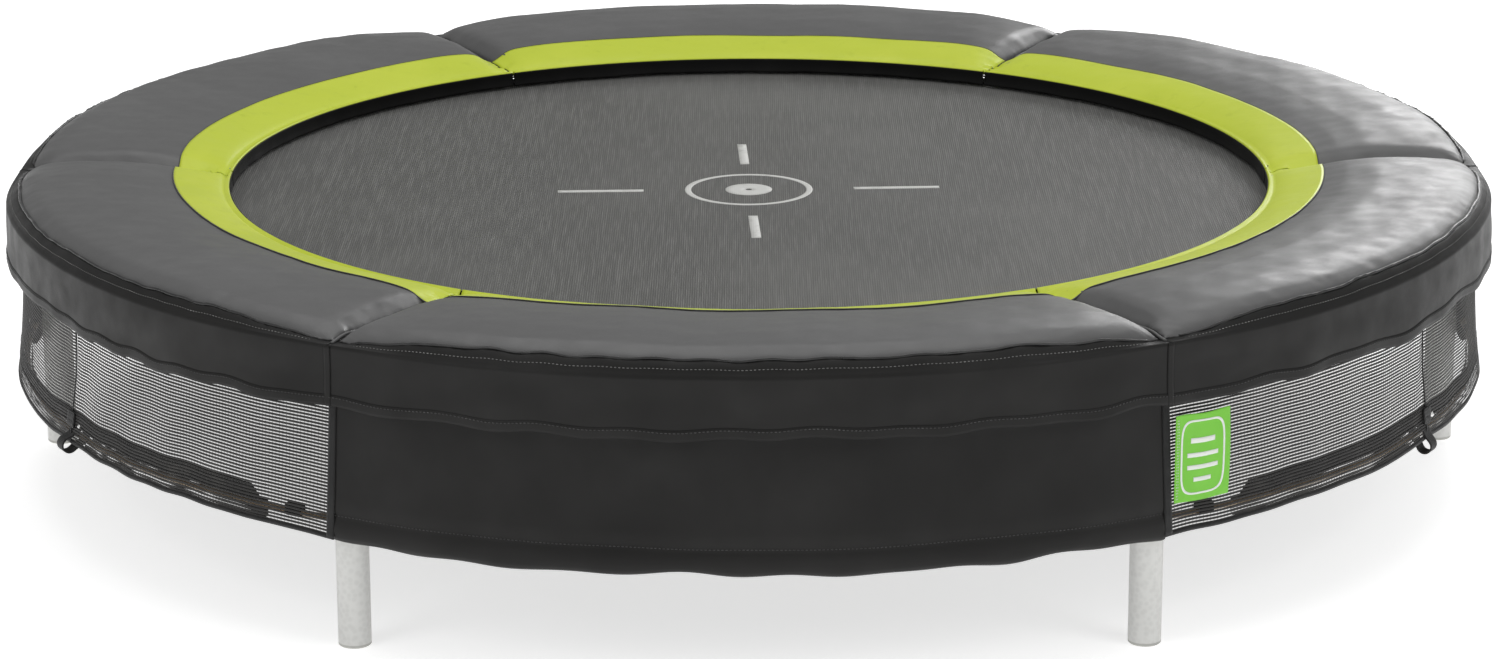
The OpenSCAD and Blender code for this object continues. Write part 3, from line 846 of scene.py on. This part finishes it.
def closed_panels():
    """Closed skirt cloth, its lower edge folded up round the hem rod and sewn."""
    columns = 190
    hem = ROD_Z + np.array([12.5, 8, 2, -4, -9, -13.5, 0, -13.5, -7, 1, 8, 12.2]) * MM
    hem[6] = PANEL_LOW + 0.8 * MM
    hem_r = np.array([SKIRT_R] * 6 + [ROD_R] + [POCKET_R] * 4 + [SKIRT_R])
    hem_r = hem_r + np.array([-0.6, 1.2, 2.6, 3.4, 3.0, 0.2, 1.0, 2.2, 0, 0, 2, -2.2]) * MM
    plain = np.linspace(SKIRT_TOP, ROD_Z + 18 * MM, 15)
    profile = np.concatenate([np.stack([SKIRT_R + skirt_lean(plain), plain], axis=1),
                              np.stack([hem_r, hem], axis=1)])
    for number, start in enumerate(CLOSED_STARTS):
        angles = np.linspace(start + 0.02, start + SECTOR - 0.02, columns)
        around = outward(angles)
        z = profile[:, 1][:, None] + 0 * angles[None, :]
        down = np.clip((SKIRT_TOP - z) / (SKIRT_TOP - PANEL_LOW), 0, 1)
        low = (3.0 * HEM_WAVES(around * 0.9) - 3.0) * MM
        outside = np.where(profile[:, 0] > ROD_R - 2 * MM, 1, 0.3)[:, None]
        drop = low[None, :] * np.clip((down - 0.9) * 10, 0, 1) * outside
        edge = np.clip(np.minimum(angles - angles[0], angles[-1] - angles) / 2, 0, 1)[None, :]
        sway = 2.2 * MM * CLOTH_WAVES(around * 1.1)[None, :] * np.sin(down * 2.6)
        r = profile[:, 0][:, None] + sway * edge
        r = r + 1.1 * MM * CLOTH_WAVES(ring_points(angles, 1.0, 2 * z)) * edge
        points = ring_points(angles, r, z + drop)
        panel = cloth(f"skirt_closed_{number + 1}", points[::-1], 1.0 * MM, BLACK)
        ride_as(panel, "frame", "black_cover", f"closed_panel_{number + 1}")
        stitches(f"skirt_hem_stitch_{number + 1}", points[15] + around * 0.6 * MM, around, STITCH)


def net_radius(angles, z, start):
    """Radius of the net's surface, with the shallow folds that its rod and loop pull into it."""
    share = (angles - start) / SECTOR
    middle = np.abs(share - 0.5) * 2
    down = np.clip((SKIRT_TOP - z) / (SKIRT_TOP - NET_LOW), 0, 1)
    folds = 1.8 * MM * CLOTH_WAVES(outward(angles) * 1.6 + UP * (z * 1.2)[..., None])
    at_middle = np.exp(-((share - 0.5) / 0.035) ** 2)
    creases = 1.6 * MM * np.sin(share * 150 + 9 * down) * at_middle * (1 - down) ** 0.5
    creases = np.where(down < 1, creases, 0)
    pull = 2.2 * MM * np.exp(-((share - 0.5) / 0.05) ** 2) * np.sin(down * np.pi)
    loose = np.sin(np.clip(down, 0, 1) * np.pi * 0.85) * (1 - middle ** 6)
    return SKIRT_R + skirt_lean(z) + (folds + creases - pull * 0.6) * loose


def net_low(angles, start):
    """Height of the net's lower edge: it drops a little towards the closed panels."""
    share = np.abs((angles - start) / SECTOR - 0.5) * 2
    at_loop = 4.0 * MM * np.exp(-(share / 0.12) ** 2)
    return NET_LOW + 1.0 * MM * HEM_WAVES(ring_points(angles, 1.1, 0.0)) - 3.5 * MM * share ** 8 + at_loop


def net_points(angles, share, start, under=0.0, proud=0.0):
    """Points on the net's surface at a share of the way up, from under the lower edge to its top."""
    bottom = net_low(angles, start) - under
    z = bottom + (SKIRT_TOP - bottom) * share
    return ring_points(angles, net_radius(angles, z, start) + proud, z)


ROW_PITCH, COLUMN_PITCH = 3.8 * MM, 5.0 * MM


def threads(paths, wide, deep):
    """Threads of the net along paths; wide and deep are the half sizes of their section, as vectors."""
    return tubes("threads", paths, [wide, deep, -wide, -deep], THREAD, smooth=False)


def net_panels():
    """Net panels as real threads, in two halves that meet at an upright seam."""
    for number, start in enumerate(NET_STARTS):
        for half in (0, 1):
            low, high = start + 0.1 + half * HALF, start + HALF * (half + 1) - 0.1 * half
            count = int((SKIRT_TOP - NET_LOW) / ROW_PITCH)
            share = np.linspace(0, 1, count + 1)
            angles = np.linspace(low, high, 70)[None, :] + 0 * share[:, None]
            rows = threads(net_points(angles, share[:, None], start), UP * 1.35 * MM,
                           outward(angles) * 0.4 * MM)
            columns = int(math.radians(high - low) * SKIRT_R / COLUMN_PITCH)
            zigzag = np.where(np.arange(count + 1) % 2, 1.0, -1.0) * 0.05
            turned = np.clip(np.linspace(low, high, columns + 1)[:, None] + zigzag, low, high)
            uprights = threads(net_points(turned, share, start), outward(turned + 90) * 0.26 * MM,
                               outward(turned) * 0.24 * MM)
            net = joined(f"net_{number + 1}_{'ab'[half]}", [rows, uprights] + net_pocket(start, half))
            ride_as(net, "frame", "net", *only_first(half, f"net_panel_{number + 1}"))
        net_edges(number, start)


def net_pocket(start, half):
    """Threads of the net's lower edge where it is folded up behind the hem rod."""
    low, high = ((6.5, HALF - 1.6), (HALF + 1.6, SECTOR - 6.5))[half]
    reach = np.array([ROD_R + 4 * MM, ROD_R + 0.5 * MM, ROD_R - 3 * MM] + [POCKET_R] * 5)
    rise = np.array([-0.4, -0.6, 0.4, 3.4, 7.2, 11.0, 14.8, 18.6]) * MM
    angles = np.linspace(start + low, start + high, 50)
    turned = angles[None, :] + 0 * reach[:, None]
    rows = ring_points(turned, reach[:, None], net_low(turned, start) + rise[:, None])
    first = threads(rows, UP * 1.35 * MM, ring_points(turned, 0.4 * MM, 0.0))
    count = int(math.radians(high - low) * SKIRT_R / COLUMN_PITCH)
    turned = np.linspace(start + low, start + high, count + 1)[:, None] + 0 * reach[None, :]
    columns = ring_points(turned, reach[None, :], net_low(turned, start) + rise[None, :])
    along = ring_points(turned + 90, 0.26 * MM, 0.0)
    return [first, threads(columns, along, ring_points(turned, 0.2 * MM, 0.15 * MM))]


def joined(name, parts):
    """One object from several meshes."""
    points, faces, first = [], [], 0
    for part in parts:
        mesh = part.data
        points.append(points_of(mesh))
        faces.extend([[v + first for v in p.vertices] for p in mesh.polygons])
        first += len(mesh.vertices)
        material = mesh.materials[0]
        smooth = mesh.polygons[0].use_smooth
        bpy.data.objects.remove(part)
    return mesh_object(name, np.concatenate(points), faces, material, smooth=smooth)


def net_edges(number, start):
    """The net's lower binding, side bindings and upright middle seam."""
    angles = np.linspace(start + 0.2, start + SECTOR - 0.2, 160)
    low = net_low(angles, start)
    rise_and_reach = np.array([(-1.2, 0.3), (1.0, 0.9), (3.4, 0.5)]) * MM
    binding = [ring_points(angles, net_radius(angles, low + up, start) + out, low + up)
               for up, out in rise_and_reach]
    strips = [("net_binding", np.array(binding))]
    for side, at in (("left", start + 0.16), ("right", start + SECTOR - 0.16), ("middle", start + HALF)):
        wide = 0.3 if side != "middle" else 0.08
        turned = np.linspace(at - wide, at + wide, 5)[None, :] + np.zeros((40, 1))
        share = np.linspace(0, 1, 40)[:, None]
        strips.append((f"net_side_{side}", net_points(turned, share, start, 1.0 * MM, 0.9 * MM)))
    for name, points in strips:
        strip = cloth(f"{name}_{number + 1}", points, 0.9 * MM, WEB)
        ride_as(strip, "frame", "webbing")


def hem_tapes():
    """Webbing tape sewn inside each net panel along its pocket, cut at an angle at both ends."""
    for number, start in enumerate(NET_STARTS):
        ends = 6.2
        share = np.linspace(0, 1, 9)[:, None]
        slant = 1.2 * share
        run = np.linspace(0, 1, 150)[None, :]
        low, high = start + ends + slant, start + SECTOR - ends - slant
        angles = low + (high - low) * run
        sag = net_low(angles, start) - NET_LOW
        z = TAPE_LOW + (TAPE_TOP - TAPE_LOW) * share + sag
        points = ring_points(angles, net_radius(angles, z, start) - 1.3 * MM, z)
        tape = cloth(f"hem_tape_{number + 1}", points, 1.1 * MM, WEB)
        ride_as(tape, "frame", "webbing", *only_first(number, "hem_tapes"))
        out = outward(angles)
        for row in (1, 7):
            line = points[row] + out[row] * 1.75 * MM
            stitches(f"tape_stitch_{number + 1}_{row}", line, out[row], STITCH)


def rod_height(angles):
    """The hem rod sags at the loops and the joints in the closed panels, and rises between them."""
    from_loop = np.abs((np.asarray(angles) - 90 + 60) % 120 - 60)
    return ROD_Z + 2.8 * MM * (1 - np.cos(np.radians(from_loop * 6)))


def hem_rods():
    for number, start in enumerate((30, 150, 270)):
        angles = np.linspace(start + 0.05, start + 119.95, 150)
        path = ring_points(angles, ROD_R, rod_height(angles))
        rod = round_bar(f"hem_rod_{number + 1}", path, ROD_D / 2 - 0.1 * MM, FIBRE, 16)
        ride_as(rod, "frame", "glass_fibre_rod", *only_first(number, "hem_rods"))


def rod_straps():
    """Short webbing straps that hold the rod to the net where the pocket stops."""
    for number, start in enumerate(NET_STARTS):
        for k, (side, at) in enumerate((("left", start + 3.6), ("right", start + SECTOR - 3.6))):
            z = float(rod_height(at))
            turns = np.linspace(0, 2 * np.pi, 28, endpoint=False)
            radius = ROD_D / 2 + 1.1 * MM
            reach = ROD_R + radius * np.cos(turns) + np.where(np.cos(turns) > 0.6, 1.4 * MM, 0)
            tall = z + radius * np.sin(turns) + np.where(np.sin(turns) > 0.3, 5 * MM, 0)
            rows = np.linspace(at - 0.62, at + 0.62, 6)
            points = np.array([ring_points(a, reach, tall) for a in rows])
            strap = cloth(f"rod_strap_{number + 1}_{side}", points, 1.0 * MM, WEB, closed_columns=True)
            ride_as(strap, "frame", "webbing", *only_first(number + k, "rod_straps"))


def loop_outline(radius, length, count=14):
    """Points round a slot whose first centre is at the origin: along the loop, across it."""
    near = np.linspace(0.5 * math.pi, 1.5 * math.pi, count)
    far = np.linspace(-0.5 * math.pi, 0.5 * math.pi, count)
    straight = np.linspace(0, length, count)[1:-1]
    waist = 1 - 0.1 * np.exp(-((straight / length - 0.5) / 0.3) ** 2)
    run = [radius * np.cos(near), straight, length + radius * np.cos(far), straight[::-1]]
    rise = [radius * np.sin(near), -radius * waist, radius * np.sin(far), radius * waist]
    return np.concatenate(run), np.concatenate(rise)


def peg_loops():
    """Webbing loops round the rod: the free loop swings, and its sewn end stays on the net."""
    wide, thick, drop = 20 * MM, 1.8 * MM, 18 * MM
    along_loop, across_loop = loop_outline(ROD_D / 2 + 4 * MM + thick / 2, drop)
    tilts = {"peg_loop_1": 62, "peg_loop_2": 34, "peg_loop_3": 6}
    for number, (node, angle) in enumerate(LOOPS.items()):
        tilt = math.radians(tilts[node])
        outwards = along_loop * math.sin(tilt) + across_loop * math.cos(tilt)
        upwards = -along_loop * math.cos(tilt) + across_loop * math.sin(tilt)
        radial, along = outward(angle), outward(angle + 90)
        ring = radial * ROD_R + UP * ROD_Z + outwards[:, None] * radial + upwards[:, None] * UP
        across = np.linspace(-0.5, 0.5, 11)
        narrow = 1 - 0.12 * np.clip(along_loop / drop, 0, 1)[:, None]
        points = np.array([ring + along * wide * a * narrow for a in across])
        loop = cloth(f"webbing_{node}", points, thick, WEB, closed_columns=True)
        ride_as(loop, LOOP_BODY[node], "webbing", node)
        z = np.linspace(ROD_Z + 12.6 * MM, TAPE_TOP + 1.5 * MM, 14)
        face = net_radius(np.full(14, float(angle)), z, angle - HALF)
        face = face + 1.9 * MM + 0.25 * MM * np.cos(z * 900)
        line_up = face[:, None, None] * radial + z[:, None, None] * UP
        strap_points = line_up + along * (wide * across)[None, :, None]
        strap = cloth(f"loop_strap_{number + 1}", strap_points, thick, WEB)
        ride_as(strap, "frame", "webbing", *only_first(number, "loop_straps"))
        for k, row in enumerate((13, 11, 5)):
            line = (strap_points[row] + radial * 1.1 * MM)[1:-1]
            stitches(f"loop_stitch_{number + 1}_{k}", line, np.tile(radial, (len(line), 1)), STITCH,
                     3.0 * MM, 2.2 * MM)


def label():
    """The loose cloth label with a plain printed border and four plain bars."""
    width = (LABEL_HIGH - LABEL_LOW) * 76 / 102
    start = 300.6
    sweep = math.degrees(width / LABEL_R)
    columns, rows = 40, 50

    def at(u, v, lift):
        """A point on the label: u from its sewn edge to its free edge, v upwards."""
        angle = start + sweep * u
        z = LABEL_LOW + (LABEL_HIGH - LABEL_LOW) * v
        z = z + 1.1 * MM * np.sin(u * 7.5 + 0.6) * v + 0.7 * MM * np.sin(u * 5 + 2) * (1 - v)
        away = 2.6 * MM * u ** 2 * (0.6 + 0.4 * np.sin(v * 4)) + 0.9 * MM * np.sin(u * 6 + v * 3) * u
        return ring_points(angle, LABEL_R + 0.6 * MM + np.maximum(away, 0) + lift, z)

    u, v = np.meshgrid(np.linspace(0, 1, columns), np.linspace(0, 1, rows))
    tag = cloth("label_cloth", at(u, v, 0.0), 0.6 * MM, LABEL_GREEN)
    ride_as(tag, "label", "label_cloth", "label_flap")
    turns = np.linspace(0, 2 * np.pi, 90, endpoint=False)
    square = 5
    round_x = np.sign(np.cos(turns)) * np.abs(np.cos(turns)) ** (2 / square)
    round_y = np.sign(np.sin(turns)) * np.abs(np.sin(turns)) ** (2 / square)
    insets = np.array([7.5, 8.7, 9.9])[:, None] * MM
    half_u, half_v = 0.5 - insets / width, 0.5 - insets * 0.98 / (width * 1.34)
    border = at(0.5 + round_x * half_u, 0.5 + round_y * half_v, 0.42 * MM)
    outline = cloth("label_border", border[::-1], 0.25 * MM, LABEL_WHITE, closed_columns=True)
    ride_as(outline, "label", "label_cloth")
    for k, (low, high, left, right) in enumerate((
        (0.66, 0.72, 0.28, 0.72), (0.5, 0.55, 0.22, 0.78),
        (0.36, 0.41, 0.22, 0.78), (0.22, 0.27, 0.34, 0.66),
    )):
        u, v = np.meshgrid(np.linspace(left, right, 16), np.linspace(low, high, 4))
        bar = cloth(f"label_bar_{k + 1}", at(u, v, 0.42 * MM), 0.25 * MM, LABEL_WHITE)
        ride_as(bar, "label", "label_cloth")
    for u_at in (0.035, 0.06):
        v_line = np.linspace(0.03, 0.97, 30)
        line = at(np.full(30, u_at), v_line, 0.35 * MM)
        stitches(f"label_stitch_{int(u_at * 1000)}", line, line * np.array([1, 1, 0]), LABEL_WHITE,
                 3.4 * MM, 2.4 * MM, 0.4 * MM, body="label", slot="label_cloth")


# ---------------------------------------------------------------- mat, springs and metal

def mat_height(distance):
    """The mat bows a little under its own weight."""
    return RING_Z - 2.6 * MM * (1 - np.clip(distance / (MAT_R - 20 * MM), 0, 1) ** 2)


def mat():
    rows, columns = 48, 180
    distance = np.concatenate([[0.4 * MM], np.linspace(12 * MM, MAT_R, rows - 1)])
    angles = np.linspace(0, 360, columns, endpoint=False)
    r = distance[:, None]
    points = ring_points(angles, r, mat_height(r))
    made = cloth("mat_sheet", points[::-1], MAT_TOP - MAT_LOW, MAT, closed_columns=True)
    ride_as(made, "mat", "mat_weave", "jump_mat")
    prints = []
    lift = (MAT_TOP - MAT_LOW) / 2 + 0.12 * MM
    for k in range(4):
        middle = 90 * k + 2.2
        radius = np.linspace(0.135, 0.245, 16)
        width = 6 * MM
        line = ring_points(middle, radius, mat_height(radius) + lift)
        stroke = np.array([line + w * outward(middle + 90) for w in (-width, 0, width)])
        prints.append(cloth(f"mat_print_{k + 1}", stroke, 0.2 * MM, INK_WHITE))
    for name, low, high in (("mat_print_ring", 0.074, 0.082), ("mat_print_dot", 0.004, 0.03)):
        r = np.linspace(low, high, 4)[:, None]
        circle = ring_points(angles, r, mat_height(r) + lift)
        prints.append(cloth(name, circle[::-1], 0.2 * MM, INK_WHITE, closed_columns=True))
    for piece in prints:
        ride_as(piece, "mat", "mat_weave")


def springs():
    """Close-wound coil springs with a hook at each end, which stretch between ring and mat."""
    wire, coil_r = 1.3 * MM, 6.7 * MM
    start_r, end_r = 754.6 * MM, 869.9 * MM
    turns = int((end_r - start_r) / (2.75 * MM))
    steps = turns * 10
    t = np.linspace(0, 1, steps + 1)
    wound = t * turns * 2 * np.pi
    run = start_r + (end_r - start_r) * t
    coil = np.stack([run, coil_r * np.sin(wound), RING_Z + coil_r * np.cos(wound)], axis=1)
    hook_r = 6 * MM

    def hook(centre, first, last):
        bend = np.radians(np.linspace(first, last, 16))
        return np.stack([centre + hook_r * np.cos(bend), 0 * bend, RING_Z + hook_r * np.sin(bend)], axis=1)

    path = np.concatenate([
        hook(746 * MM, 250, 0), [[start_r - 1.5 * MM, 0, RING_Z + 1 * MM]], coil,
        [[end_r + 1.2 * MM, 0, RING_Z + 1 * MM]], hook(878.5 * MM, 180, -50)])
    first = round_bar("spring_blank", path, wire, WIRE, 5, up=(0.13, 0.99, 0.05))
    points, faces = points_of(first.data), [list(p.vertices) for p in first.data.polygons]
    bpy.data.objects.remove(first)
    for number, angle in enumerate(SPRING_ANGLES):
        spring = mesh_object(f"coil_spring_{number + 1}", points @ spin(angle), faces, WIRE, smooth=True)
        if number == 0:
            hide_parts("springs")
        way = Vector(outward(angle))
        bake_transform(spring)


def v_rings():
    """Triangular links bent from round wire, one in each tab of the mat's binding."""
    base, tip, half, bend = 715 * MM, 746 * MM, 21 * MM, 2.6 * MM
    corners = [np.array(c) for c in ((base, -half), (base, half), (tip, 0.0))]
    path = []
    for k, corner in enumerate(corners):
        before, after = corners[k - 1] - corner, corners[(k + 1) % 3] - corner
        before, after = before / np.linalg.norm(before), after / np.linalg.norm(after)
        for share in np.linspace(0, 1, 6):
            near = (1 - share) ** 2 * before * bend * 1.6 + share ** 2 * after * bend * 1.6
            path.append(corner + near)
    path = np.array([[x, y, RING_Z] for x, y in path])
    parts = []
    for angle in SPRING_ANGLES:
        parts.append(round_bar("link", path @ spin(angle), 1.5 * MM, WIRE, 8, closed=True))
    ride_as(joined("mat_links", parts), "mat", "spring_steel", "v_rings")


def finish_cad_nodes():
    """Materials for the CAD nodes that show."""
    for name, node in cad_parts.items():
        kind = name.rstrip("0123456789").rstrip("_")
        finish = {
            "rail": ZINC, "leg_tee": ZINC, "leg": ZINC, "leg_feet": FOOT, "leg_screws": STEEL,
            "rod_ferrules": STEEL, "loop_rivets": RIVET, "mat_edge": WEB, "pad_ties": WEB,
        }.get(kind)
        if finish is not None:
            node.data.materials.clear()
            node.data.materials.append(finish)


covers = pads()
cover_surfaces = {k: Surface(piece) for k, piece in covers.items()}
trims_and_lips(cover_surfaces)
valances(cover_surfaces)
pad_seams(cover_surfaces)
closed_panels()
hem_rods()
net_panels()
hem_tapes()
rod_straps()
peg_loops()
label()
mat()
springs()
v_rings()
finish_cad_nodes()
